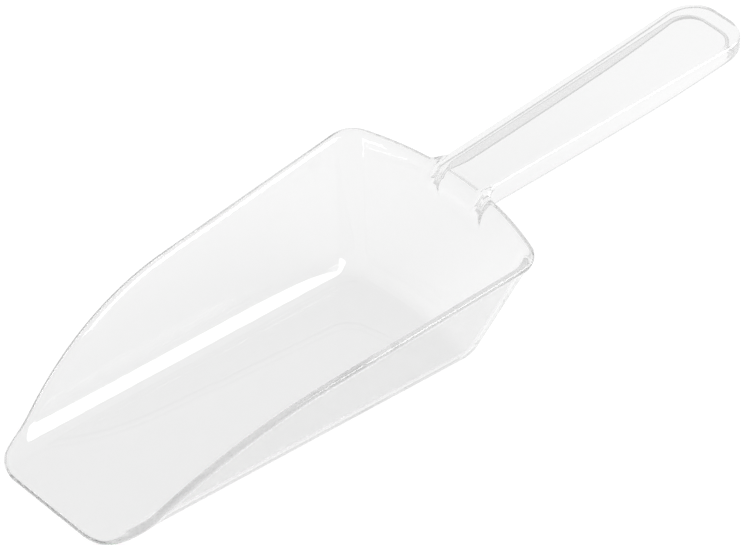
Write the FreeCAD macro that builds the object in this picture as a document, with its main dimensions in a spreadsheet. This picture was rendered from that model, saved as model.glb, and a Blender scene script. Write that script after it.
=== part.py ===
"""Clear plastic bar scoop, 6 fl oz: an open-fronted bowl with a thickened rim and a channel handle.

Axes: +Z up, +X from the scooping lip towards the tip of the handle, and -Y the left-hand side
of somebody holding the handle.  The origin lies under the middle of the overall length, in the
plane that the flat floor of the bowl rests on.  Bowl bodies are drawn with x = 0 at the lip, and
their Placement moves them back by half the overall length.  Handle bodies are drawn level, with
x = 0 at the root and z = 0 on the top face, and their Placement tilts them up.
"""
import FreeCAD, Part
import Sketcher
import math
import os

# ------------------------------------------------------------ driving sizes, mm and degrees
SIZES = {
    "overall_length": 231.2,
    # bowl: outer faces, widths at floor level
    "front_half_width": 23.9,
    "side_splay": 0.7,           # each side opens towards the back
    "back_reach": 125.0,         # from the lip to the middle of the back wall
    "back_radius": 94.5,         # the back wall is bowed outwards
    "corner_radius": 8.3,        # upright corners, the same all the way up
    "floor_radius": 8.0,         # round between the floor and the walls
    "draft": 19.8,               # every wall leans outwards
    "wall": 2.0,
    "floor_thickness": 2.2,
    "form_height": 46.0,
    # rim, seen from the side: a straight run, a round shoulder and a hollow foot at the lip
    "rim_end_station": 150.0,
    "rim_end_height": 37.5,
    "rim_slope": 6.4,
    "rim_bend_station": 65.5,
    "rim_shoulder_radius": 100.0,
    "rim_foot_radius": 22.0,
    "bead_proud": 0.6,
    "bead_height": 2.4,
    "lip_corner_radius": 11.0,   # the lip's corners, seen from above
    "lip_corner_reach": 25.3,
    "lip_depth": 10.0,
    # where the bowl's regions meet
    "floor_region_top": 7.0,
    "back_region_station": 112.0,
    # handle, in its own frame
    "handle_root_station": 128.0,
    "handle_root_height": 36.1,
    "handle_tilt": 4.65,
    "handle_length": 103.2,
    "handle_half_width": 8.9,    # at the root
    "handle_flare": 1.8,         # each side opens towards the tip
    "handle_tip_radius": 9.0,
    "handle_wall": 2.0,
    "tip_wall": 4.4,             # the skirt is thicker round the tip
    "tip_inner_radius": 6.5,
    "skirt_start": 4.0,          # inside the back wall, which cuts the skirts to length
    "skirt_start_depth": 6.4,
    "skirt_end": 88.0,
    "skirt_end_depth": 6.0,
    "skirt_bow_radius": 2200.0,
    "tip_depth": 3.8,
    "plate_start": 12.0,
    "plate_edge_radius": 1.2,
    "saddle_start": 9.8,         # where the top face begins to bend down into the bowl
    "saddle_radius": 4.6,
    "saddle_foot": 5.7,
    "saddle_foot_depth": 6.4,
    "saddle_seat": 8.9,
}
TINY = 1e-4
MARGIN = 20.0                    # how far a cutting shape runs past what it cuts

FRONT_OVERRUN = MARGIN           # the forms start ahead of the lip, and the rim profile cuts them
STEEPEST = 0.75                  # radians, first guess at the steepest slope of the rim

doc = FreeCAD.newDocument("bar_scoop")
sheet = doc.addObject("Spreadsheet::Sheet", "sizes")
for row, (alias, value) in enumerate(SIZES.items(), start=1):
    sheet.set(f"A{row}", alias)
    sheet.set(f"B{row}", str(value))
    sheet.setAlias(f"B{row}", alias)
doc.recompute()


# ------------------------------------------------------------ helpers
def size(alias):
    return SIZES[alias]


def at(x, y, z=0.0):
    return FreeCAD.Vector(x, y, z)


def line(start, end):
    return Part.LineSegment(at(*start), at(*end))


def arc(centre, radius, start_angle, end_angle):
    """Counter-clockwise from the first angle to the second, in radians."""
    return Part.ArcOfCircle(Part.Circle(at(*centre), at(0, 0, 1), radius), start_angle, end_angle)


def bowl_body(name, height="0"):
    body = doc.addObject("PartDesign::Body", name)
    body.setExpression("Placement.Base.x", "-sizes.overall_length / 2")
    body.setExpression("Placement.Base.z", height)
    return body


def handle_body(name):
    body = doc.addObject("PartDesign::Body", name)
    body.Placement.Rotation = FreeCAD.Rotation(at(0, -1, 0), size("handle_tilt"))
    body.setExpression("Placement.Rotation.Angle", "sizes.handle_tilt")
    body.setExpression("Placement.Base.x", "sizes.handle_root_station - sizes.overall_length / 2")
    body.setExpression("Placement.Base.z", "sizes.handle_root_height")
    return body


def sketch_on(body, name, role):
    sketch = body.newObject("Sketcher::SketchObject", name)
    plane = next(f for f in body.Origin.OriginFeatures if f.Role == role)
    sketch.AttachmentSupport = (plane, [""])
    sketch.MapMode = "FlatFace"
    return sketch


def rule(sketch, kind, *places):
    sketch.addConstraint(Sketcher.Constraint(kind, *places))


def drive(sketch, name, kind, *places, value, by):
    """A dimension with a name of its own, bound to the sheet by an expression."""
    sketch.addConstraint(Sketcher.Constraint(kind, *places, value))
    sketch.renameConstraint(sketch.ConstraintCount - 1, name)
    sketch.setExpression("Constraints." + name, by)


def pad(body, sketch, length, **settings):
    feature = body.newObject("PartDesign::Pad", body.Name + "_pad")
    feature.Profile = sketch
    for name, value in settings.items():
        setattr(feature, name, value)
    feature.setExpression("Length", length)
    return feature


def rounded(body, feature, name, radius, chosen):
    """Rounds the edges of a feature whose bounding boxes answer to chosen."""
    doc.recompute()
    edges = [f"Edge{number}" for number, edge in enumerate(feature.Shape.Edges, start=1)
             if chosen(edge.BoundBox)]
    fillet = body.newObject("PartDesign::Fillet", name)
    fillet.Base = (feature, edges)
    fillet.setExpression("Radius", radius)
    return fillet


def pocket(body, sketch, length):
    """A pocket to both sides of its sketch."""
    feature = body.newObject("PartDesign::Pocket", body.Name + "_pocket")
    feature.Profile = sketch
    feature.SideType = "Symmetric"
    feature.setExpression("Length", length)
    return feature


def cut(name, base, tool):
    result = doc.addObject("Part::Cut", name)
    result.Base, result.Tool = base, tool
    return result


def common(name, base, tool):
    result = doc.addObject("Part::Common", name)
    result.Base, result.Tool = base, tool
    return result


def box(name, low, high):
    """A cutting box whose corners are triples of expressions, with x from the lip."""
    result = doc.addObject("Part::Box", name)
    for side, start, end in zip(("Length", "Width", "Height"), low, high):
        result.setExpression(side, f"({end}) - ({start})")
    result.setExpression("Placement.Base.x", f"({low[0]}) - sizes.overall_length / 2")
    result.setExpression("Placement.Base.y", low[1])
    result.setExpression("Placement.Base.z", low[2])
    return result


# ------------------------------------------------------------ bowl forms
def bowl_form(name, grow, by, height="0"):
    """A block with the bowl's drafted sides, its outline grown by a distance.

    The outline runs along the left side, the bowed back and the right side; then the upright
    corners and the edges round the floor are rounded.
    """
    body = bowl_body(name, height)
    sketch = sketch_on(body, name + "_outline", "XY_Plane")
    splay = math.radians(size("side_splay"))
    back = size("back_radius") + grow
    centre_x = size("back_reach") - size("back_radius")
    front_y = size("front_half_width") + grow - FRONT_OVERRUN * math.tan(splay)
    turn = math.asin(size("front_half_width") / back)
    corner_x, corner_y = centre_x + back * math.cos(turn), back * math.sin(turn)
    sketch.addGeometry([
        line((-FRONT_OVERRUN, -front_y), (corner_x, -corner_y)),
        arc((centre_x, 0), back, -turn, turn),
        line((corner_x, corner_y), (-FRONT_OVERRUN, front_y)),
        line((-FRONT_OVERRUN, front_y), (-FRONT_OVERRUN, -front_y)),
    ])
    for first, second in ((0, 1), (1, 2), (2, 3), (3, 0)):
        rule(sketch, "Coincident", first, 2, second, 1)
    rule(sketch, "Symmetric", 0, 1, 2, 2, -1)
    rule(sketch, "PointOnObject", 1, 3, -1)
    rule(sketch, "Equal", 0, 2)
    drive(sketch, "back", "Radius", 1, value=back, by=f"sizes.back_radius + ({by})")
    drive(sketch, "back_centre", "DistanceX", -1, 1, 1, 3, value=centre_x,
          by="sizes.back_reach - sizes.back_radius")
    drive(sketch, "overrun", "DistanceX", 0, 1, -1, 1, value=FRONT_OVERRUN, by=str(FRONT_OVERRUN))
    drive(sketch, "front", "DistanceY", 0, 1, -1, 1, value=front_y,
          by=f"sizes.front_half_width - {FRONT_OVERRUN} * tan(sizes.side_splay * 1deg) + ({by})")
    drive(sketch, "splay", "Angle", 0, value=-splay, by="-sizes.side_splay")
    block = pad(body, sketch, "sizes.form_height")
    block.setExpression("TaperAngle", "sizes.draft")
    # a corner shrinks by the wall on the inside and grows by the bead on the outside
    upright = rounded(body, block, name + "_corners", f"sizes.corner_radius + ({by})",
                      lambda span: span.ZLength > size("form_height") / 2 and span.XMin > 0)
    rounded(body, upright, name + "_foot", f"sizes.floor_radius + ({by})",
            lambda span: span.ZMax < TINY and span.XMax > 0)
    return body


def rim_profile(name, drop, by):
    """The block above the rim line and ahead of the lip, lowered by a distance.

    From the lip back: a hollow arc, the round shoulder, and the straight run to the back.
    """
    body = bowl_body(name)
    sketch = sketch_on(body, name + "_profile", "XZ_Plane")
    lip_z = size("floor_thickness") - drop
    end_x = size("rim_end_station")
    end_z = size("rim_end_height") - drop
    top = end_z + MARGIN
    bottom = -MARGIN
    slope = math.radians(size("rim_slope"))
    bend_x = size("rim_bend_station")
    bend_z = end_z - (end_x - bend_x) * math.tan(slope)
    shoulder, foot = size("rim_shoulder_radius"), size("rim_foot_radius")
    shoulder_x = bend_x + shoulder * math.sin(slope)
    shoulder_z = bend_z - shoulder * math.cos(slope)
    meet_x = shoulder_x - shoulder * math.sin(STEEPEST)
    meet_z = shoulder_z + shoulder * math.cos(STEEPEST)
    foot_x = meet_x - foot * math.sin(STEEPEST)
    foot_z = meet_z + foot * math.cos(STEEPEST)
    start = -math.pi / 2 - math.asin(min(1.0, foot_x / foot))
    sketch.addGeometry([
        arc((foot_x, foot_z), foot, start, STEEPEST - math.pi / 2),
        arc((shoulder_x, shoulder_z), shoulder, math.pi / 2 + slope, math.pi / 2 + STEEPEST),
        line((bend_x, bend_z), (end_x, end_z)),
        line((end_x, end_z), (end_x, top)),
        line((end_x, top), (-FRONT_OVERRUN * 2, top)),
        line((-FRONT_OVERRUN * 2, top), (-FRONT_OVERRUN * 2, bottom)),
        line((-FRONT_OVERRUN * 2, bottom), (0, bottom)),
        line((0, bottom), (0, lip_z)),
    ])
    rule(sketch, "Tangent", 0, 2, 1, 2)
    rule(sketch, "Tangent", 1, 1, 2, 1)
    for first, second in ((2, 3), (3, 4), (4, 5), (5, 6), (6, 7), (7, 0)):
        rule(sketch, "Coincident", first, 2, second, 1)
    for upright in (3, 5):
        rule(sketch, "Vertical", upright)
    for level in (4, 6):
        rule(sketch, "Horizontal", level)
    rule(sketch, "PointOnObject", 7, 1, -2)
    rule(sketch, "PointOnObject", 7, 2, -2)
    drive(sketch, "lip", "DistanceY", -1, 1, 7, 2, value=lip_z, by=f"sizes.floor_thickness - ({by})")
    drive(sketch, "foot", "Radius", 0, value=foot, by="sizes.rim_foot_radius")
    drive(sketch, "shoulder", "Radius", 1, value=shoulder, by="sizes.rim_shoulder_radius")
    drive(sketch, "bend", "DistanceX", -1, 1, 2, 1, value=bend_x, by="sizes.rim_bend_station")
    drive(sketch, "slope", "Angle", 2, value=slope, by="sizes.rim_slope")
    drive(sketch, "end_x", "DistanceX", -1, 1, 2, 2, value=end_x, by="sizes.rim_end_station")
    drive(sketch, "end_z", "DistanceY", -1, 1, 2, 2, value=end_z, by=f"sizes.rim_end_height - ({by})")
    drive(sketch, "above", "DistanceY", 3, 1, 3, 2, value=MARGIN, by=str(MARGIN))
    drive(sketch, "ahead", "DistanceX", 6, 1, 6, 2, value=FRONT_OVERRUN * 2, by=str(FRONT_OVERRUN * 2))
    drive(sketch, "below", "DistanceY", 7, 1, -1, 1, value=MARGIN, by=str(MARGIN))
    pad(body, sketch, "4 * sizes.front_half_width + 20", SideType="Symmetric")
    return body


def past_lip_corners():
    """The two pieces outside the lip's rounded corners, drawn on the floor's plane."""
    body = bowl_body("past_lip_corners", height=f"-{MARGIN}")
    sketch = sketch_on(body, "lip_corner_outlines", "XY_Plane")
    radius, reach = size("lip_corner_radius"), size("lip_corner_reach")
    for side, name in ((-1, "left"), (1, "right")):
        first = sketch.GeometryCount
        quarter = (math.pi, 1.5 * math.pi) if side < 0 else (math.pi / 2, math.pi)
        on_lip, on_side = (1, 2) if side < 0 else (2, 1)
        sketch.addGeometry([
            arc((radius, side * (reach - radius)), radius, *quarter),
            line((radius, side * reach), (radius, side * (reach + MARGIN))),
            line((radius, side * (reach + MARGIN)), (-MARGIN, side * (reach + MARGIN))),
            line((-MARGIN, side * (reach + MARGIN)), (-MARGIN, side * (reach - radius))),
            line((-MARGIN, side * (reach - radius)), (0, side * (reach - radius))),
        ])
        rule(sketch, "Coincident", first, on_side, first + 1, 1)
        for before in range(first + 1, first + 4):
            rule(sketch, "Coincident", before, 2, before + 1, 1)
        rule(sketch, "Coincident", first + 4, 2, first, on_lip)
        for upright in (first + 1, first + 3):
            rule(sketch, "Vertical", upright)
        for level in (first + 2, first + 4):
            rule(sketch, "Horizontal", level)
        rule(sketch, "PointOnObject", first, on_lip, -2)
        rule(sketch, "Horizontal", first, on_lip, first, 3)
        rule(sketch, "Vertical", first, on_side, first, 3)
        drive(sketch, name + "_round", "Radius", first, value=radius, by="sizes.lip_corner_radius")
        ends = (-1, 1, first, on_side) if side > 0 else (first, on_side, -1, 1)
        drive(sketch, name + "_reach", "DistanceY", *ends, value=reach, by="sizes.lip_corner_reach")
        ends = (first + 1, 1, first + 1, 2) if side > 0 else (first + 1, 2, first + 1, 1)
        drive(sketch, name + "_aside", "DistanceY", *ends, value=MARGIN, by=str(MARGIN))
        drive(sketch, name + "_ahead", "DistanceX", first + 4, 1, first + 4, 2, value=MARGIN,
              by=str(MARGIN))
    pad(body, sketch, "3 * sizes.rim_end_height")
    return body


# ------------------------------------------------------------ bowl
def make_bowl():
    """The shell, divided where one region of the moulding passes into the next."""
    draft = math.radians(size("draft"))
    inset = size("floor_thickness") * math.tan(draft) - size("wall") / math.cos(draft)
    inset_by = ("sizes.floor_thickness * tan(sizes.draft * 1deg)"
                " - sizes.wall / cos(sizes.draft * 1deg)")
    outer_form = bowl_form("outer_form", 0.0, "0")
    inner_form = bowl_form("inner_form", inset, inset_by, height="sizes.floor_thickness")
    bead_form = bowl_form("bead_form", size("bead_proud"), "sizes.bead_proud")
    above_rim = rim_profile("above_rim", 0.0, "0")
    above_walls = rim_profile("above_walls", size("bead_height"), "sizes.bead_height")

    far = str(10 * MARGIN)
    ahead, aside, under = "-" + far, "-" + far, "-" + far
    lip_zone = box("lip_zone", (ahead, aside, under), ("sizes.lip_depth", far, far))
    floor_zone = box("floor_zone", (ahead, aside, under), (far, far, "sizes.floor_region_top"))
    back_zone = box("back_zone", ("sizes.back_region_station", aside, under), (far, far, far))
    left_zone = box("left_zone", (ahead, aside, under), (far, "0", far))

    # the rim and the lip are the thicker shell, the floor and walls the thinner one
    thick_blank = cut("thick_blank", cut("thick_hollow", bead_form, inner_form), above_rim)
    thick_shell = cut("thick_shell", thick_blank, past_lip_corners())
    thin_shell = cut("thin_shell", cut("thin_blank", outer_form, inner_form), above_walls)
    front_lip = common("front_lip", thick_shell, lip_zone)
    rim_bead = cut("rim_bead", common("rim_band", thick_shell, above_walls), lip_zone)
    body_shell = cut("body_shell", thin_shell, lip_zone)
    bowl_floor = common("bowl_floor", body_shell, floor_zone)
    walls = cut("walls", body_shell, floor_zone)
    back_wall = common("back_wall", walls, back_zone)
    sides = cut("sides", walls, back_zone)
    side_wall_left = common("side_wall_left", sides, left_zone)
    side_wall_right = cut("side_wall_right", sides, left_zone)
    parts = [bowl_floor, side_wall_left, side_wall_right, back_wall, rim_bead, front_lip]
    return parts, outer_form


# ------------------------------------------------------------ handle
def half_width(station, inset=0.0):
    flare = math.radians(size("handle_flare"))
    return size("handle_half_width") + station * math.tan(flare) - inset / math.cos(flare)


def half_width_by(station, inset="0"):
    flare = "sizes.handle_flare * 1deg"
    return f"sizes.handle_half_width + ({station}) * tan({flare}) - ({inset}) / cos({flare})"


def tip_outline(sketch, name, start, wall=None, end_wall=None, corner="handle_tip_radius"):
    """An open outline round the tip: left side, corner, end, corner and right side.

    Its sides and its end lie inside the handle's own by the walls named.
    """
    first = sketch.GeometryCount
    flare = math.radians(size("handle_flare"))
    radius, start_x = size(corner), size(start)
    inset = size(wall) if wall else 0.0
    inset_by = "sizes." + wall if wall else "0"
    end_x = size("handle_length") - (size(end_wall) if end_wall else 0.0)
    end_by = "sizes.handle_length" + (" - sizes." + end_wall if end_wall else "")
    start_y = half_width(start_x, inset)
    # the corner touches a flared side and the square end
    corner_x = end_x - radius
    corner_y = half_width(corner_x, inset + radius)
    touch_x = corner_x - radius * math.sin(flare)
    touch_y = corner_y + radius * math.cos(flare)
    sketch.addGeometry([
        line((start_x, -start_y), (touch_x, -touch_y)),
        arc((corner_x, -corner_y), radius, -math.pi / 2 - flare, 0),
        line((end_x, -corner_y), (end_x, corner_y)),
        arc((corner_x, corner_y), radius, 0, math.pi / 2 + flare),
        line((touch_x, touch_y), (start_x, start_y)),
    ])
    for before in range(first, first + 4):
        rule(sketch, "Tangent", before, 2, before + 1, 1)
    rule(sketch, "Symmetric", first, 1, first + 4, 2, -1)
    rule(sketch, "Vertical", first + 2)
    rule(sketch, "Equal", first + 1, first + 3)
    rule(sketch, "Equal", first, first + 4)
    drive(sketch, name + "_corner", "Radius", first + 1, value=radius, by="sizes." + corner)
    drive(sketch, name + "_start", "DistanceX", -1, 1, first, 1, value=start_x, by="sizes." + start)
    drive(sketch, name + "_half_width", "DistanceY", first, 1, -1, 1, value=start_y,
          by=half_width_by("sizes." + start, inset_by))
    drive(sketch, name + "_flare", "Angle", first, value=-flare, by="-sizes.handle_flare")
    drive(sketch, name + "_end", "DistanceX", -1, 1, first + 2, 1, value=end_x, by=end_by)
    return first


def lower(sketch, distance_by):
    """Moves a level sketch of the handle down from its top face."""
    sketch.setExpression("AttachmentOffset.Base.z", f"-({distance_by})")


def make_top_plate():
    body = handle_body("handle_top_plate")
    sketch = sketch_on(body, "top_plate_outline", "XY_Plane")
    start = size("plate_start")
    tip_outline(sketch, "outer", "plate_start")
    sketch.addGeometry(line((start, half_width(start)), (start, -half_width(start))))
    rule(sketch, "Coincident", 4, 2, 5, 1)
    rule(sketch, "Coincident", 5, 2, 0, 1)
    plate = pad(body, sketch, "sizes.handle_wall", Reversed=True)
    rounded(body, plate, "top_plate_edge", "sizes.plate_edge_radius",
            lambda span: span.ZMin > -TINY and span.XMax > start + TINY)
    return body


def make_tip_wall():
    """The skirt round the tip, its lower edge rising to the end."""
    body = handle_body("handle_tip_wall")
    sketch = sketch_on(body, "tip_wall_outline", "XY_Plane")
    start, end, wall = size("skirt_end"), size("handle_length"), size("handle_wall")
    outer = tip_outline(sketch, "outer", "skirt_end")
    inner = tip_outline(sketch, "inner", "skirt_end", wall="handle_wall", end_wall="tip_wall",
                        corner="tip_inner_radius")
    last = sketch.GeometryCount
    for side in (-1, 1):
        sketch.addGeometry(line((start, side * half_width(start)),
                                (start, side * half_width(start, wall))))
    rule(sketch, "Coincident", last, 1, outer, 1)
    rule(sketch, "Coincident", last, 2, inner, 1)
    rule(sketch, "Coincident", last + 1, 1, outer + 4, 2)
    rule(sketch, "Coincident", last + 1, 2, inner + 4, 2)
    lower(sketch, "sizes.handle_wall")
    pad(body, sketch, "sizes.skirt_end_depth - sizes.handle_wall", Reversed=True)

    under = sketch_on(body, "under_tip_edge", "XZ_Plane")
    low, high = -size("skirt_end_depth"), -size("tip_depth")
    corners = [(start, low), (end, high), (end, low)]
    for first, second in zip(corners, corners[1:] + corners[:1]):
        under.addGeometry(line(first, second))
    for first, second in ((0, 1), (1, 2), (2, 0)):
        rule(under, "Coincident", first, 2, second, 1)
    rule(under, "Vertical", 1)
    rule(under, "Horizontal", 2)
    drive(under, "start", "DistanceX", -1, 1, 0, 1, value=start, by="sizes.skirt_end")
    drive(under, "end", "DistanceX", -1, 1, 0, 2, value=end, by="sizes.handle_length")
    drive(under, "low", "DistanceY", 0, 1, -1, 1, value=-low, by="sizes.skirt_end_depth")
    drive(under, "high", "DistanceY", 0, 2, -1, 1, value=-high, by="sizes.tip_depth")
    pocket(body, under, "4 * sizes.handle_half_width")
    return body


def make_skirt(name, side, outer_form, rim_bead):
    """One side of the channel, bowed along its lower edge and cut to length by the bowl."""
    body = handle_body(name + "_blank")
    strip = sketch_on(body, name + "_strip", "XY_Plane")
    start, end, wall = size("skirt_start"), size("skirt_end"), size("handle_wall")
    corners = [(start, side * half_width(start)), (end, side * half_width(end)),
               (end, side * half_width(end, wall)), (start, side * half_width(start, wall))]
    for first, second in zip(corners, corners[1:] + corners[:1]):
        strip.addGeometry(line(first, second))
    for first, second in ((0, 1), (1, 2), (2, 3), (3, 0)):
        rule(strip, "Coincident", first, 2, second, 1)
    rule(strip, "Vertical", 1)
    rule(strip, "Vertical", 3)
    flare = math.radians(size("handle_flare"))
    drive(strip, "start", "DistanceX", -1, 1, 0, 1, value=start, by="sizes.skirt_start")
    drive(strip, "end", "DistanceX", -1, 1, 1, 1, value=end, by="sizes.skirt_end")
    drive(strip, "outer_flare", "Angle", 0, value=side * flare, by=f"{side} * sizes.handle_flare")
    for corner, station, inset in ((0, "skirt_start", None), (2, "skirt_end", "handle_wall"),
                                   (3, "skirt_start", "handle_wall")):
        reach = half_width(size(station), size(inset) if inset else 0.0)
        reach_by = half_width_by("sizes." + station, "sizes." + inset if inset else "0")
        ends = (-1, 1, corner, 1) if side > 0 else (corner, 1, -1, 1)
        drive(strip, f"reach_{corner}", "DistanceY", *ends, value=reach, by=reach_by)
    lower(strip, "sizes.handle_wall")
    pad(body, strip, f"sizes.skirt_end_depth + {MARGIN}", Reversed=True)

    under = sketch_on(body, name + "_under_edge", "XZ_Plane")
    left, right = (start, -size("skirt_start_depth")), (end, -size("skirt_end_depth"))
    radius = size("skirt_bow_radius")
    rise = right[1] - left[1]
    chord = math.hypot(end - start, rise)
    lift = math.sqrt(radius ** 2 - (chord / 2) ** 2)
    centre_x = (left[0] + right[0]) / 2 - lift * rise / chord
    centre_z = (left[1] + right[1]) / 2 + lift * (end - start) / chord
    angles = [math.atan2(z - centre_z, x - centre_x) for x, z in (left, right)]
    bottom = right[1] - 2 * MARGIN
    under.addGeometry([
        arc((centre_x, centre_z), radius, *angles),
        line(right, (end, bottom)),
        line((end, bottom), (start, bottom)),
        line((start, bottom), left),
    ])
    for first, second in ((0, 1), (1, 2), (2, 3), (3, 0)):
        rule(under, "Coincident", first, 2, second, 1)
    rule(under, "Vertical", 1)
    rule(under, "Horizontal", 2)
    rule(under, "Vertical", 3)
    drive(under, "start", "DistanceX", -1, 1, 0, 1, value=start, by="sizes.skirt_start")
    drive(under, "end", "DistanceX", -1, 1, 0, 2, value=end, by="sizes.skirt_end")
    drive(under, "start_depth", "DistanceY", 0, 1, -1, 1, value=-left[1], by="sizes.skirt_start_depth")
    drive(under, "end_depth", "DistanceY", 0, 2, -1, 1, value=-right[1], by="sizes.skirt_end_depth")
    drive(under, "bow", "Radius", 0, value=radius, by="sizes.skirt_bow_radius")
    drive(under, "below", "DistanceY", 1, 2, 1, 1, value=2 * MARGIN, by=str(2 * MARGIN))
    pocket(body, under, "4 * sizes.handle_half_width")
    return cut(name, cut(name + "_at_wall", body, outer_form), rim_bead)


def make_root(back_wall, rim_bead):
    """The saddle: the top face runs over the rim and bends down onto the inside of the back."""
    body = handle_body("handle_root_blank")
    sketch = sketch_on(body, "saddle_profile", "XZ_Plane")
    wall, radius = size("handle_wall"), size("saddle_radius")
    plate_x, bend_x = size("plate_start"), size("saddle_start")
    toe = (bend_x - radius, -radius)
    foot = (size("saddle_foot"), -size("saddle_foot_depth"))
    seat = (size("saddle_seat"), -wall)
    sketch.addGeometry([
        line((plate_x, 0), (bend_x, 0)),
        arc((bend_x, -radius), radius, math.pi / 2, math.pi),
        line(toe, foot),
        line(foot, seat),
        line(seat, (plate_x, -wall)),
        line((plate_x, -wall), (plate_x, 0)),
    ])
    rule(sketch, "Tangent", 0, 2, 1, 1)
    for first, second in ((2, 3), (3, 4), (4, 5), (5, 0)):
        rule(sketch, "Coincident", first, 2, second, 1)
    rule(sketch, "Coincident", 1, 2, 2, 1)
    rule(sketch, "Horizontal", 0)
    rule(sketch, "Horizontal", 1, 3, 1, 2)
    rule(sketch, "Horizontal", 4)
    rule(sketch, "Vertical", 5)
    rule(sketch, "PointOnObject", 0, 1, -1)
    drive(sketch, "plate", "DistanceX", -1, 1, 0, 1, value=plate_x, by="sizes.plate_start")
    drive(sketch, "bend", "DistanceX", -1, 1, 0, 2, value=bend_x, by="sizes.saddle_start")
    drive(sketch, "round", "Radius", 1, value=radius, by="sizes.saddle_radius")
    drive(sketch, "foot", "DistanceX", -1, 1, 3, 1, value=foot[0], by="sizes.saddle_foot")
    drive(sketch, "foot_depth", "DistanceY", 3, 1, -1, 1, value=-foot[1], by="sizes.saddle_foot_depth")
    drive(sketch, "seat", "DistanceX", -1, 1, 3, 2, value=seat[0], by="sizes.saddle_seat")
    drive(sketch, "thick", "DistanceY", 5, 1, 5, 2, value=wall, by="sizes.handle_wall")
    pad(body, sketch, f"2 * ({half_width_by('sizes.plate_start')})", SideType="Symmetric")
    return cut("handle_root", cut("root_over_rim", body, rim_bead), back_wall)


# ------------------------------------------------------------ the scoop
bowl_parts, outer_form = make_bowl()
_, _, _, back_wall, rim_bead, _ = bowl_parts
handle_parts = [
    make_root(back_wall, rim_bead),
    make_top_plate(),
    make_skirt("handle_skirt_left", -1, outer_form, rim_bead),
    make_skirt("handle_skirt_right", 1, outer_form, rim_bead),
    make_tip_wall(),
]
parts = bowl_parts + handle_parts
doc.recompute()

failed = [o.Label for o in doc.Objects if {"Invalid", "Error"} & set(o.State)]
if failed:
    raise RuntimeError("failed objects: " + ", ".join(failed))
for part in parts:
    if part.Shape.isNull() or not part.Shape.isValid():
        raise RuntimeError(part.Label + " has no valid shape")

os.makedirs("parts", exist_ok=True)
for part in parts:
    part.Shape.exportStep(f"parts/{part.Label}.step")
    print(f"{part.Label:20} {len(part.Shape.Solids)} solid, {part.Shape.Volume / 1000:.2f} cm3")
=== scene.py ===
"""Clear plastic bar scoop on a pale floor: one moulding, shown as its bowl and its channel handle.

The whole moulding is a distance field in millimetres, below zero inside the plastic, with x
measured from the scooping lip.  It is meshed on two grids that follow its faces, and an upright
plane behind the rim divides it into two closed pieces.  The frame gives the lip's place.  Scene
units are metres.
"""
import math
import bmesh
import bpy
import numpy as np
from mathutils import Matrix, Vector


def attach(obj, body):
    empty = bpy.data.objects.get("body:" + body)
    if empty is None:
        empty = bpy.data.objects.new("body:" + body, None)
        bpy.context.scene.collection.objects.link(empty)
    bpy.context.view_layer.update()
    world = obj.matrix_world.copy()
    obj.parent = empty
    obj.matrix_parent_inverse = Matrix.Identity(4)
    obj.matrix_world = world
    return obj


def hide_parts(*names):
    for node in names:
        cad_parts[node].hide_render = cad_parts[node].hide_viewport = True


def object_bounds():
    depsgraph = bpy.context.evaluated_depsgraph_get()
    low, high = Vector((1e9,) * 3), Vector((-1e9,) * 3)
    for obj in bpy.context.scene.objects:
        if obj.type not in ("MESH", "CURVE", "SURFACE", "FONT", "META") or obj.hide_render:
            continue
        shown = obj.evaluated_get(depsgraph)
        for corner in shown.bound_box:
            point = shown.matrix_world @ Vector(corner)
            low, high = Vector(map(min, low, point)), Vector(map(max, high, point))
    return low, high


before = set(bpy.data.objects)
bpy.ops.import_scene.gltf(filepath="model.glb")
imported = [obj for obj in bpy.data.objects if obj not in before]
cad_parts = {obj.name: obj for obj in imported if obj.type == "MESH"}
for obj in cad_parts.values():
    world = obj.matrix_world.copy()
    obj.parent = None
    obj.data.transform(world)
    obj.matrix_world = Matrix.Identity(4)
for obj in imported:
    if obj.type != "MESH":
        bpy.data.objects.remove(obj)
cad_low, cad_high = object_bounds()

MM = 0.001
LIP_X = cad_low.x / MM                     # the lip's station in the frame

# ------------------------------------------------------------ sizes, mm; angles, radians
FRONT_HALF_WIDTH, SIDE_SPLAY = 23.9, math.radians(0.7)
BACK_REACH, BACK_RADIUS = 125.0, 94.5
CORNER_RADIUS, FLOOR_RADIUS = 8.3, 8.0
DRAFT, WALL, FLOOR = math.radians(19.8), 2.0, 2.2
RIM_END_X, RIM_END_Z, RIM_SLOPE, RIM_BEND_X = 150.0, 37.5, math.radians(6.4), 65.5
RIM_SHOULDER, RIM_FOOT = 100.0, 22.0
BEAD_PROUD, BEAD_HEIGHT = 0.6, 2.4
LIP_CORNER = 10.5
ROOT_X, ROOT_Z, TILT = 128.0, 36.1, math.radians(4.65)
ROOT_DEPTH, ROOT_CORNER = 5.5, 2.0
HANDLE_LENGTH, HANDLE_HALF_WIDTH, FLARE = 103.2, 8.9, math.radians(1.8)
TIP_CORNER, TIP_INNER_CORNER, SHOULDER = 9.0, 6.5, 1.2
HANDLE_WALL, END_WALL, TOP_WALL = 2.0, 4.4, 2.0
HOLLOW_SIDE_SLOPE, HOLLOW_END_SLOPE = 0.015, 0.2
CHANNEL_GAP = 0.8                          # from the bead's outside in to the channel's start
SKIRT_START, SKIRT_START_DEPTH = 4.0, 6.4
SKIRT_END, SKIRT_END_DEPTH, SKIRT_BOW = 88.0, 6.0, 2200.0
TIP_DEPTH = 3.8
SADDLE_X, SADDLE_RADIUS = 7.2, 4.0
SPLIT_X = 139.4                            # the bowl piece ends and the handle piece starts

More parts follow.
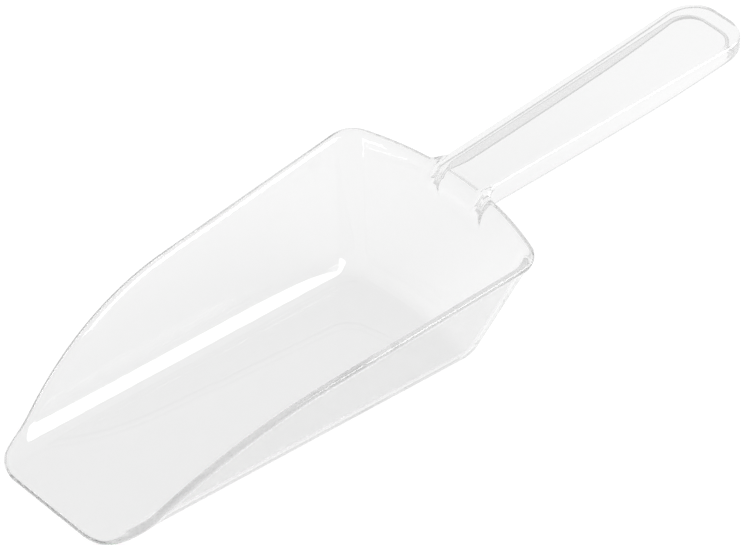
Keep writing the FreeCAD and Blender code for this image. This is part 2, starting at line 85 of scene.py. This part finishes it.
# how far, in mm, each rounded edge or blend reaches from where two faces would meet
BEAD_BLEND, LIP_EDGE, INSIDE_EDGE, RIM_EDGE = 0.7, 1.3, 0.9, 1.3
SKIRT_EDGE, SKIRT_BEND, HOLLOW_EDGE, CHANNEL_EDGE = 0.9, 3.0, 0.9, 0.7
ROOT_SEAT, ROOT_UNDERSIDE, ROOT_BLEND, GRIP_BLEND, TOP_EDGE = 0.3, 1.0, 0.6, 3.5, 0.5

# ------------------------------------------------------------ looks
TINT = (0.865, 0.865, 0.865, 1)
STAGE_SIZE, STAGE_DROP = 6.0, 0.0002       # the floor that the scoop lies on, metres
STAGE_GREY, STAGE_GLOW, WORLD_GLOW = (0.1, 0.1, 0.1, 1), 0.93, 0.8
CAMERA_AZIMUTH, CAMERA_ELEVATION = math.radians(-40.708), math.radians(38.559)
CAMERA_DISTANCE, CAMERA_LENS, CAMERA_SENSOR = 1.4422, 270.3, 36.0    # metres, mm, mm
AIM_X, AIM_Z = 107.1, 20.46                # the camera's aim, mm
PLASTIC_BOUNCES, CLEAR_BOUNCES = 72, 24    # the first sets how grey the edges are


# ------------------------------------------------------------ distance field
def smooth_max(a, b, reach):
    """The larger of two distances, rounded within reach of where they meet."""
    near = np.maximum(reach - np.abs(a - b), 0.0) / reach
    return np.maximum(a, b) + near * near * reach / 4


def smooth_min(a, b, reach):
    """The smaller of two distances, rounded the same way."""
    return -smooth_max(-a, -b, reach)


def round_corner(a, b, cosine, radius):
    """The solid inside two faces, its edge a true arc; cosine is that between their normals."""
    u, v = a + radius, b + radius
    arc = np.sqrt(np.maximum(u * u + v * v - 2 * cosine * u * v, 0) / (1 - cosine ** 2)) - radius
    return np.where((u > cosine * v) & (v > cosine * u), arc, np.maximum(a, b))


def drafted(x, y, z, grow, base):
    """The bowl's drafted block, its outline grown by a distance at the height of its base.

    Also gives the distance from its side faces alone, level with the point.
    """
    lift = (z - base) * math.tan(DRAFT)
    aside = np.abs(y)
    side = (aside - FRONT_HALF_WIDTH - grow) * math.cos(SIDE_SPLAY) - x * math.sin(SIDE_SPLAY) - lift
    centre = BACK_REACH - BACK_RADIUS
    run = np.hypot(x - centre, y) + 1e-9      # never zero
    back = run - BACK_RADIUS - grow - lift
    cosine = (math.cos(SIDE_SPLAY) * aside - math.sin(SIDE_SPLAY) * (x - centre)) / run
    # kept well off 1, where two faces line up and their corner's arc has no centre
    cosine = np.clip(cosine, -0.9, 0.9)
    plan = round_corner(side, back, cosine, CORNER_RADIUS + grow)
    walls = plan * math.cos(DRAFT)
    return round_corner(walls, base - z, math.sin(DRAFT), FLOOR_RADIUS + grow), side


def rim_line():
    """Centres of the rim's shoulder and foot arcs, seen from the side."""
    bend_z = RIM_END_Z - (RIM_END_X - RIM_BEND_X) * math.tan(RIM_SLOPE)
    sx = RIM_BEND_X + RIM_SHOULDER * math.sin(RIM_SLOPE)
    sz = bend_z - RIM_SHOULDER * math.cos(RIM_SLOPE)
    # the foot's centre is one radius from the lip's top edge and touches the shoulder
    far, near = RIM_SHOULDER + RIM_FOOT, RIM_FOOT
    gap = math.hypot(sx, sz - FLOOR)
    along = (near ** 2 - far ** 2 + gap ** 2) / (2 * gap)
    aside = math.sqrt(near ** 2 - along ** 2)
    ux, uz = sx / gap, (sz - FLOOR) / gap
    return sx, sz, along * ux - aside * uz, FLOOR + along * uz + aside * ux


SHOULDER_X, SHOULDER_Z, FOOT_X, FOOT_Z = rim_line()


def above_rim(x, z):
    """Height over the rim line, measured square to it."""
    straight = (z - RIM_END_Z) * math.cos(RIM_SLOPE) - (x - RIM_END_X) * math.sin(RIM_SLOPE)
    shoulder = np.hypot(x - SHOULDER_X, z - SHOULDER_Z) - RIM_SHOULDER
    foot = RIM_FOOT - np.hypot(x - FOOT_X, z - FOOT_Z)
    # which of the three faces a point: by the direction from the shoulder's centre
    ahead = math.sin(RIM_SLOPE) * (z - SHOULDER_Z) + math.cos(RIM_SLOPE) * (x - SHOULDER_X)
    meet = math.atan2(SHOULDER_Z - FOOT_Z, SHOULDER_X - FOOT_X)
    lean = (z - SHOULDER_Z) * math.cos(meet) - (x - SHOULDER_X) * math.sin(meet)
    return np.where(ahead > 0, straight, np.where(lean > 0, shoulder, foot))


def bowl(x, y, z):
    """The bowl with its bead and its lip, and the block inside the bead's outer faces."""
    outer, _ = drafted(x, y, z, 0.0, 0.0)
    bead, bead_side = drafted(x, y, z, BEAD_PROUD, 0.0)
    inset = FLOOR * math.tan(DRAFT) - WALL / math.cos(DRAFT)
    inner, _ = drafted(x, y, z, inset, FLOOR)
    rim = above_rim(x, z)
    band = smooth_max(bead, -(rim + BEAD_HEIGHT), BEAD_BLEND)
    skin = smooth_min(outer, band, BEAD_BLEND)
    lip = round_corner(-x, bead_side * math.cos(DRAFT), math.sin(SIDE_SPLAY), LIP_CORNER)
    skin = smooth_max(skin, lip, LIP_EDGE)
    shell = smooth_max(skin, -inner, INSIDE_EDGE)
    return smooth_max(shell, rim, RIM_EDGE), bead


def in_handle(x, z):
    """A point's place along the handle's top face and its height over that face."""
    run, rise = x - ROOT_X, z - ROOT_Z
    return (run * math.cos(TILT) + rise * math.sin(TILT), rise * math.cos(TILT) - run * math.sin(TILT))


def bow_centre():
    """Centre of the arc along the skirts' lower edges, in the handle's own frame."""
    chord_x, chord_z = SKIRT_END - SKIRT_START, SKIRT_START_DEPTH - SKIRT_END_DEPTH
    chord = math.hypot(chord_x, chord_z)
    lift = math.sqrt(SKIRT_BOW ** 2 - (chord / 2) ** 2)
    return ((SKIRT_START + SKIRT_END) / 2 - lift * chord_z / chord,
            lift * chord_x / chord - (SKIRT_START_DEPTH + SKIRT_END_DEPTH) / 2)


BOW_X, BOW_Z = bow_centre()
TIP_RISE = math.atan2(SKIRT_END_DEPTH - TIP_DEPTH, HANDLE_LENGTH - SKIRT_END)


def under_depth(hx):
    """How far the lower edges lie under the top face."""
    bow = np.sqrt(SKIRT_BOW ** 2 - (hx - BOW_X) ** 2) - BOW_Z
    return np.minimum(bow, SKIRT_END_DEPTH - (hx - SKIRT_END) * math.tan(TIP_RISE))


def handle(x, y, z, bead):
    """The channel behind the back wall, and the root that carries its top face over the rim."""
    hx, hz = in_handle(x, z)
    side = (np.abs(y) - HANDLE_HALF_WIDTH - hx * math.tan(FLARE)) * math.cos(FLARE)
    end = hx - HANDLE_LENGTH
    plan = round_corner(side, end, -math.sin(FLARE), TIP_CORNER)
    bow = np.hypot(hx - BOW_X, hz - BOW_Z) - SKIRT_BOW
    tip = (hx - SKIRT_END) * math.sin(TIP_RISE) - (hz + SKIRT_END_DEPTH) * math.cos(TIP_RISE)
    under = smooth_max(bow, tip, SKIRT_BEND)
    block = smooth_max(round_corner(plan, hz, 0.0, SHOULDER), under, SKIRT_EDGE)

    below = hz + TOP_WALL
    hollow_side = side + HANDLE_WALL + HOLLOW_SIDE_SLOPE * below
    hollow_end = end + END_WALL + HOLLOW_END_SLOPE * below
    hollow = round_corner(hollow_side, hollow_end, -math.sin(FLARE), TIP_INNER_CORNER)
    hollow = smooth_max(hollow, below, HOLLOW_EDGE)
    channel = smooth_max(block, -hollow, CHANNEL_EDGE)
    channel = np.maximum(channel, -(bead + CHANNEL_GAP))

    saddle = round_corner(SADDLE_X - hx, hz, 0.0, SADDLE_RADIUS)
    root = smooth_max(round_corner(side, saddle, 0.0, ROOT_CORNER), bead, ROOT_SEAT)
    root = smooth_max(root, -hz - ROOT_DEPTH, ROOT_UNDERSIDE)
    return channel, root


def moulding(x, y, z):
    """The whole scoop, cut off level with the handle's top face."""
    shell, bead = bowl(x, y, z)
    channel, root = handle(x, y, z, bead)
    grip = smooth_min(channel, root, ROOT_BLEND)
    _, hz = in_handle(x, z)
    return smooth_max(smooth_min(shell, grip, GRIP_BLEND), hz, TOP_EDGE)


# ------------------------------------------------------------ grids, stations in mm
# each grid's first station, then the end of every run of lines with its step in cells
BOWL_START, BOWL_RUNS = -1.5, ((3.5, 0.7), (14, 1), (118, 5), (143, 1))
HANDLE_START, HANDLE_RUNS = 8.6, ((14, 1), (95, 2.1), (106, 1))
BOW_STARTS, BOW_FULL = 88, 122             # over these the lines across take up the back's bow
PLATE_STARTS, PLATE_FULL = 128, 139        # over these the top passes from rim to handle
EDGE_ENDS, RIM_ENDS = 130, 140             # past these the grid keeps its width and its rim height
# nominal sizes, which only set the spacing of the lines
NOMINAL_HALF_WIDTH, NOMINAL_HEIGHT = FRONT_HALF_WIDTH + 16.0, 36.0   # of the bowl, at the back
NOMINAL_BOW = BACK_RADIUS + 12.0                                     # of the back, at the rim
NOMINAL_SKIRT = 9.0
SKIRT_ROOM, SIDE_REACH = 5.0, 17           # how far the handle's lines go below and aside


def stations(start, runs, cell):
    """Grid lines from a start over runs of (end, step in cells)."""
    lines = [start]
    for end, step in runs:
        count = max(1, round((end - lines[-1]) / (cell * step)))
        lines.extend(np.linspace(lines[-1], end, count + 1)[1:])
    return np.array(lines)


def rim_height(x, highest=50.0, halvings=24):
    """The rim line's height at a station, found by halving."""
    low, high = np.zeros_like(x), np.full_like(x, highest)
    for _ in range(halvings):
        middle = (low + high) / 2
        over = above_rim(x, middle) > 0
        low, high = np.where(over, low, middle), np.where(over, middle, high)
    return (low + high) / 2


def eased(value, start, end):
    """A smooth step from 0 at the start to 1 at the end."""
    share = np.clip((value - start) / (end - start), 0, 1)
    return share * share * (3 - 2 * share)


def bowl_grid(cell):
    """Grid points that follow the rim: lines along it, across it and round the bowed back."""
    along = stations(BOWL_START, BOWL_RUNS, cell)
    wide, tall = NOMINAL_HALF_WIDTH, NOMINAL_HEIGHT
    across = np.arange(-wide - 1.5 * cell, wide + 2 * cell, cell)
    up = (np.arange(-3, round(tall / cell) + 4) + 0.5) * cell / tall

    rim_x = np.clip(along, 0, EDGE_ENDS)
    edge = FRONT_HALF_WIDTH + BEAD_PROUD + rim_x * math.tan(SIDE_SPLAY)
    edge = edge + rim_height(rim_x) * math.tan(DRAFT)
    y = edge[:, None] * across[None, :] / wide
    bow = NOMINAL_BOW - np.sqrt(NOMINAL_BOW ** 2 - y ** 2)
    x = along[:, None] - bow * eased(along, BOW_STARTS, BOW_FULL)[:, None]
    top = rim_height(np.clip(x, 0, RIM_ENDS))
    plate = ROOT_Z + (x - ROOT_X) * math.tan(TILT)
    top = top + (plate - top) * eased(x, PLATE_STARTS, PLATE_FULL)
    level = up[None, None, :]
    z = np.where(level < 0, level * tall, np.where(level > 1, top[..., None] + (level - 1) * tall,
                                                   top[..., None] * level))
    return np.stack([np.broadcast_to(x[..., None], z.shape), np.broadcast_to(y[..., None], z.shape),
                     z], -1)


def handle_grid(cell):
    """Grid points in line with the handle: its flared sides, its top face and its bowed edges."""
    along = stations(HANDLE_START, HANDLE_RUNS, cell)
    # the sides lie half-way between two lines, so that no line runs in a face
    step = HANDLE_HALF_WIDTH / round(HANDLE_HALF_WIDTH / cell)
    reach = round(SIDE_REACH / step)
    across = step * (np.arange(-reach, reach) + 0.5)
    flared = 1 + along * math.tan(FLARE) / HANDLE_HALF_WIDTH
    deep = under_depth(along)
    tall = NOMINAL_SKIRT
    level = (np.arange(-round(SKIRT_ROOM / cell), round(tall / cell) + 3) + 0.5) * cell / tall
    hz = np.where(level < 0, level * tall - deep[:, None],
                  np.where(level > 1, (level - 1) * tall, (level - 1) * deep[:, None]))
    shape = (len(along), len(across), len(level))
    hx = np.broadcast_to(along[:, None, None], shape)
    hz = np.broadcast_to(hz[:, None, :], shape)
    y = np.broadcast_to((flared[:, None] * across[None, :])[..., None], shape)
    x = ROOT_X + hx * math.cos(TILT) - hz * math.sin(TILT)
    z = ROOT_Z + hx * math.sin(TILT) + hz * math.cos(TILT)
    return np.stack([x, y, z], -1)


# ------------------------------------------------------------ mesh
def sampled(grid, slab=12):
    """The field at every grid point, a slab of stations at a time to spare memory."""
    field = np.empty(grid.shape[:3])
    for start in range(0, len(grid), slab):
        part = grid[start:start + slab]
        field[start:start + slab] = moulding(part[..., 0], part[..., 1], part[..., 2])
    return field


def cell_points(grid, field, cells, corners):
    """For each cell, the middle of the places where the surface crosses the cell's edges."""
    total, hits = np.zeros((len(cells[0]), 3)), np.zeros(len(cells[0]))
    for start in corners:
        for axis in range(3):
            if start[axis]:
                continue
            end = tuple(o + (axis == n) for n, o in enumerate(start))
            first = tuple(c + o for c, o in zip(cells, start))
            second = tuple(c + o for c, o in zip(cells, end))
            a, b = field[first], field[second]
            cut = np.nonzero((a < 0) != (b < 0))[0]
            share = (a[cut] / (a[cut] - b[cut]))[:, None]
            total[cut] += grid[first][cut] * (1 - share) + grid[second][cut] * share
            hits[cut] += 1
    return total / hits[:, None]


def edge_quads(inside, number):
    """A quad for each grid edge that the surface cuts, joining the points of the four cells round it."""
    quads = []
    for axis in range(3):
        one, two = (axis + 1) % 3, (axis + 2) % 3
        near = inside[tuple(slice(0, -1) if n == axis else slice(1, -1) for n in range(3))]
        far = inside[tuple(slice(1, None) if n == axis else slice(1, -1) for n in range(3))]
        place = list(np.nonzero(near != far))
        outward = near[tuple(place)]
        place[one], place[two] = place[one] + 1, place[two] + 1
        ring = []
        for step_one, step_two in ((-1, -1), (0, -1), (0, 0), (-1, 0)):
            index = list(place)
            index[one], index[two] = place[one] + step_one, place[two] + step_two
            ring.append(number[tuple(index)])
        ring = np.stack(ring, 1)
        ring[~outward] = ring[~outward, ::-1]
        quads.append(ring)
    return np.concatenate(quads)


def surface_net(grid, field):
    """One vertex in every cell that the surface passes, and one quad across every edge it cuts."""
    inside = field < 0
    shape = tuple(n - 1 for n in field.shape)
    corners = [(i, j, k) for i in (0, 1) for j in (0, 1) for k in (0, 1)]
    filled = sum(inside[tuple(slice(o, o + n) for o, n in zip(offset, shape))].astype(np.int8)
                 for offset in corners)
    cells = np.nonzero((filled > 0) & (filled < len(corners)))
    number = np.full(shape, -1, np.int64)
    number[cells] = np.arange(len(cells[0]))
    return cell_points(grid, field, cells, corners), edge_quads(inside, number)


def slope(points, reach=0.02):
    """The field's gradient at some points."""
    result = np.empty_like(points)
    for axis in range(3):
        step = np.zeros(3)
        step[axis] = reach
        high, low = points + step, points - step
        result[:, axis] = (moulding(*high.T) - moulding(*low.T)) / (2 * reach)
    return result


def settled(points, limit, rounds=4, least=0.05):
    """Moves points onto the surface, no further than a limit, taking no gradient as below the least."""
    start = points.copy()
    for _ in range(rounds):
        gradient = slope(points)
        size = np.maximum((gradient ** 2).sum(1), least)
        points = points - gradient * (moulding(*points.T) / size)[:, None]
        away = points - start
        far = np.maximum(np.linalg.norm(away, axis=1) / limit, 1.0)
        points = start + away / far[:, None]
    return points


def make_mesh(grid, limit):
    """The moulding's points and quads on a grid."""
    points, quads = surface_net(grid, sampled(grid))
    return settled(points, limit), quads


def in_frame(points):
    """Points in mm from the lip, as points in the frame."""
    placed = points * MM
    placed[:, 0] += LIP_X * MM
    return placed


def make_piece(name, points, quads, behind):
    """One side of the split of the moulding, closed by a clear cap at the split."""
    mesh = bpy.data.meshes.new(name)
    mesh.from_pydata(in_frame(points).tolist(), [], quads.tolist())
    shape = bmesh.new()
    shape.from_mesh(mesh)
    place = Vector(((SPLIT_X + LIP_X) * MM, 0, 0))
    cut = bmesh.ops.bisect_plane(shape, geom=shape.verts[:] + shape.edges[:] + shape.faces[:],
                                 dist=1e-7, plane_co=place, plane_no=(1, 0, 0),
                                 clear_outer=not behind, clear_inner=behind)
    edges = [e for e in cut["geom_cut"] if isinstance(e, bmesh.types.BMEdge)]
    made = bmesh.ops.triangle_fill(shape, edges=edges, use_beauty=True, use_dissolve=False)
    caps = [f for f in made["geom"] if isinstance(f, bmesh.types.BMFace)]
    for face in shape.faces:
        face.smooth = True
    for face in caps:
        face.material_index = 1
        face.smooth = False
    bmesh.ops.recalc_face_normals(shape, faces=shape.faces[:])
    open_edges = sum(len(edge.link_faces) != 2 for edge in shape.edges)
    print(name, "faces", len(shape.faces), "caps", len(caps), "open edges", open_edges)
    shape.to_mesh(mesh)
    shape.free()
    mesh.update()
    piece = bpy.data.objects.new(name, mesh)
    bpy.context.scene.collection.objects.link(piece)
    shade_from_field(mesh)
    return piece


def shade_from_field(mesh):
    """Corner normals from the field itself, except on the caps."""
    co = np.empty(len(mesh.vertices) * 3)
    mesh.vertices.foreach_get("co", co)
    points = co.reshape(-1, 3) / MM
    points[:, 0] -= LIP_X
    normals = slope(points)
    normals /= np.maximum(np.linalg.norm(normals, axis=1), 1e-9)[:, None]
    loops = np.empty(len(mesh.loops), np.int32)
    mesh.loops.foreach_get("vertex_index", loops)
    corner_normals = normals[loops]
    for face in mesh.polygons:
        if face.material_index == 1:
            corner_normals[face.loop_start:face.loop_start + face.loop_total] = face.normal
    mesh.normals_split_custom_set(corner_normals.tolist())


# ------------------------------------------------------------ materials
def clear_plastic():
    """Mould-polished clear plastic, with fine scratches along it and a faint flow mark."""
    material = bpy.data.materials.new("clear_plastic")
    material.use_nodes = True
    nodes, links = material.node_tree.nodes, material.node_tree.links
    shader = nodes["Principled BSDF"]
    shader.inputs["Base Color"].default_value = TINT
    shader.inputs["Transmission Weight"].default_value = 1.0
    shader.inputs["IOR"].default_value = 1.5
    place = nodes.new("ShaderNodeTexCoord")

    # long thin scratches from use, a little rougher than the polish
    stretch = nodes.new("ShaderNodeMapping")
    stretch.inputs["Scale"].default_value = (25, 900, 900)
    links.new(place.outputs["Object"], stretch.inputs["Vector"])
    scratch = nodes.new("ShaderNodeTexNoise")
    scratch.inputs["Scale"].default_value = 1.0
    scratch.inputs["Detail"].default_value = 3.0
    links.new(stretch.outputs["Vector"], scratch.inputs["Vector"])
    rough = nodes.new("ShaderNodeMapRange")
    rough.inputs["From Min"].default_value = 0.62
    rough.inputs["From Max"].default_value = 0.72
    rough.inputs["To Min"].default_value = 0.0
    rough.inputs["To Max"].default_value = 0.16
    links.new(scratch.outputs["Fac"], rough.inputs["Value"])
    links.new(rough.outputs["Result"], shader.inputs["Roughness"])

    # the faint waviness that the flowing plastic leaves in its faces
    flow = nodes.new("ShaderNodeTexNoise")
    flow.inputs["Scale"].default_value = 60.0
    flow.inputs["Detail"].default_value = 1.0
    links.new(place.outputs["Object"], flow.inputs["Vector"])
    bump = nodes.new("ShaderNodeBump")
    bump.inputs["Strength"].default_value = 0.25
    bump.inputs["Distance"].default_value = 0.00008
    links.new(flow.outputs["Fac"], bump.inputs["Height"])
    links.new(bump.outputs["Normal"], shader.inputs["Normal"])
    return material


def inside_of_moulding():
    """A fully clear material for the caps, which lie within the plastic."""
    material = bpy.data.materials.new("inside_of_moulding")
    material.use_nodes = True
    material.node_tree.nodes["Principled BSDF"].inputs["Alpha"].default_value = 0.0
    return material


# ------------------------------------------------------------ pieces
BOWL_CELL = 0.49    # mm between the bowl's grid lines
HANDLE_CELL = 0.6 * BOWL_CELL              # finer, since the handle's walls and edges are small
BOWL_LIMIT, HANDLE_LIMIT = 0.8 * BOWL_CELL, 0.5 * BOWL_CELL          # how far a point may settle
bowl_piece = make_piece("scoop_bowl", *make_mesh(bowl_grid(BOWL_CELL), BOWL_LIMIT), behind=False)
handle_piece = make_piece("scoop_handle", *make_mesh(handle_grid(HANDLE_CELL), HANDLE_LIMIT),
                          behind=True)
plastic, hidden = clear_plastic(), inside_of_moulding()
for piece in (bowl_piece, handle_piece):
    piece.data.materials.append(plastic)
    piece.data.materials.append(hidden)
    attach(piece, "root")
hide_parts("bowl_floor", "side_wall_left", "side_wall_right", "back_wall", "rim_bead",
            "front_lip")
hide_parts("handle_root", "handle_top_plate", "handle_skirt_left",
            "handle_skirt_right", "handle_tip_wall")


# ------------------------------------------------------------ floor, light and camera
def make_floor():
    """A plain pale floor, just under the scoop."""
    bpy.ops.mesh.primitive_plane_add(size=STAGE_SIZE, location=(0, 0, -STAGE_DROP))
    floor = bpy.context.object
    floor.name = "floor"
    material = bpy.data.materials.new("pale_floor")
    material.use_nodes = True
    shader = material.node_tree.nodes["Principled BSDF"]
    shader.inputs["Base Color"].default_value = STAGE_GREY
    shader.inputs["Roughness"].default_value = 0.9
    shader.inputs["Specular IOR Level"].default_value = 0.0
    shader.inputs["Emission Color"].default_value = (1, 1, 1, 1)
    shader.inputs["Emission Strength"].default_value = STAGE_GLOW
    floor.data.materials.append(material)


def make_panel(name, towards, distance, width, height, power):
    """A soft panel that faces the scoop from a direction; metres and watts."""
    light = bpy.data.lights.new(name, "AREA")
    light.shape = "RECTANGLE"
    light.size, light.size_y = width, height
    light.energy = power
    panel = bpy.data.objects.new(name, light)
    direction = Vector(towards).normalized()
    panel.location = direction * distance
    panel.rotation_euler = direction.to_track_quat("Z", "Y").to_euler()
    panel.visible_transmission = False        # faces reflect it, and the edges stay grey
    bpy.context.scene.collection.objects.link(panel)


def make_world(strength):
    """White light from all round."""
    world = bpy.data.worlds.new("studio")
    world.use_nodes = True
    background = world.node_tree.nodes["Background"]
    background.inputs["Color"].default_value = (1, 1, 1, 1)
    background.inputs["Strength"].default_value = strength
    bpy.context.scene.world = world


def make_camera():
    """A long lens, looking down on the scoop from beyond its lip and to one side."""
    target = Vector(((LIP_X + AIM_X) * MM, 0, AIM_Z * MM))
    level = math.cos(CAMERA_ELEVATION)
    back = Vector((math.sin(CAMERA_AZIMUTH) * level, -math.cos(CAMERA_AZIMUTH) * level,
                   math.sin(CAMERA_ELEVATION)))
    data = bpy.data.cameras.new("camera")
    data.lens, data.sensor_width = CAMERA_LENS, CAMERA_SENSOR
    camera = bpy.data.objects.new("camera", data)
    camera.location = target + back * CAMERA_DISTANCE
    camera.rotation_euler = back.to_track_quat("Z", "Y").to_euler()
    bpy.context.scene.collection.objects.link(camera)
    bpy.context.scene.camera = camera


make_floor()
make_world(WORLD_GLOW)
make_panel("near_panel", towards=(0.53, -0.52, 0.65), distance=1.2, width=1.3, height=1.1, power=26)
make_panel("end_strip", towards=(-0.97, 0.18, 0.1), distance=1.3, width=0.25, height=0.5, power=2.4)
make_camera()
bpy.context.scene.view_settings.view_transform = "Standard"
cycles = bpy.context.scene.cycles
cycles.max_bounces = PLASTIC_BOUNCES
cycles.transmission_bounces = PLASTIC_BOUNCES
cycles.glossy_bounces = PLASTIC_BOUNCES
cycles.transparent_max_bounces = CLEAR_BOUNCES
